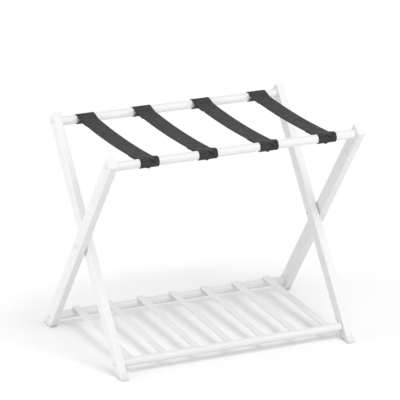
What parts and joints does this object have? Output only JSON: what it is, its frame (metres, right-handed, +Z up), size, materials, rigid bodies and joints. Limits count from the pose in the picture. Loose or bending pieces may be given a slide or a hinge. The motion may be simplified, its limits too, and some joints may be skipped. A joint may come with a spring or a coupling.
{
  "type": "folding luggage rack",
  "caption": "Folding steel luggage rack: two crossing tube frames that close like scissors, black webbing bands on top and a slatted shelf below that swings up.",
  "frame": {"origin": "centre of the footprint on the floor, with the rack open", "axes": "X along the rails, -Y towards the front where the shelf is hinged, +Z up"},
  "size_m": [0.6312, 0.4206, 0.5182],
  "materials": {
    "white_powder_coat": "satin white powder coat on steel tube",
    "white_hardware": "white coated steel",
    "white_plastic": "moulded white plastic",
    "nylon": "natural nylon",
    "dark_plastic": "plain moulded plastic",
    "webbing": "ribbed woven webbing",
    "black_steel": "black coated steel"
  },
  "bodies": {
    "inner_frame": {"inner_leg_left": "white_powder_coat", "inner_leg_right": "white_powder_coat", "rear_top_rail": "white_powder_coat", "rear_top_plug_left": "dark_plastic", "rear_top_plug_right": "dark_plastic", "rear_top_screws": "white_hardware", "inner_cap_left": "white_plastic", "inner_cap_right": "white_plastic", "inner_foot_left": "white_plastic", "inner_foot_right": "white_plastic", "pivot_sleeve_left": "white_hardware", "pivot_sleeve_right": "white_hardware", "pivot_bolt_left": "white_hardware", "pivot_bolt_right": "white_hardware", "pivot_spacer_left": "nylon", "pivot_spacer_right": "nylon", "shelf_screws": "white_hardware", "shelf_washer_left": "nylon", "shelf_washer_right": "nylon", "strap_1": "webbing", "strap_2": "webbing", "strap_3": "webbing", "strap_4": "webbing"},
    "outer_frame": {"outer_leg_left": "white_powder_coat", "outer_leg_right": "white_powder_coat", "front_top_rail": "white_powder_coat", "front_top_plug_left": "dark_plastic", "front_top_plug_right": "dark_plastic", "front_top_screws": "white_hardware", "rear_lower_rail": "white_powder_coat", "rear_lower_plug_left": "dark_plastic", "rear_lower_plug_right": "dark_plastic", "rear_lower_screws": "white_hardware", "outer_cap_left": "white_plastic", "outer_cap_right": "white_plastic", "outer_foot_left": "white_plastic", "outer_foot_right": "white_plastic", "strap_screws": "black_steel"},
    "shelf": {"front_lower_rail": "white_powder_coat", "shelf_bush_left": "dark_plastic", "shelf_bush_right": "dark_plastic", "slat_1": "white_powder_coat", "slat_2": "white_powder_coat", "slat_3": "white_powder_coat", "slat_4": "white_powder_coat", "slat_5": "white_powder_coat", "slat_6": "white_powder_coat", "slat_7": "white_powder_coat"}
  },
  "joints": [
    {"name": "fold", "type": "hinge", "parent": "inner_frame", "child": "outer_frame", "pos_m": [0, 0, 0.25354], "axis": [-1, 0, 0], "range_deg": [0, 67.5], "deforming": ["strap_1", "strap_2", "strap_3", "strap_4"]},
    {"name": "shelf_lift", "type": "hinge", "parent": "inner_frame", "child": "shelf", "pos_m": [0, -0.17, 0.028], "axis": [1, 0, 0], "range_deg": [0, 50.84]}
  ]
}
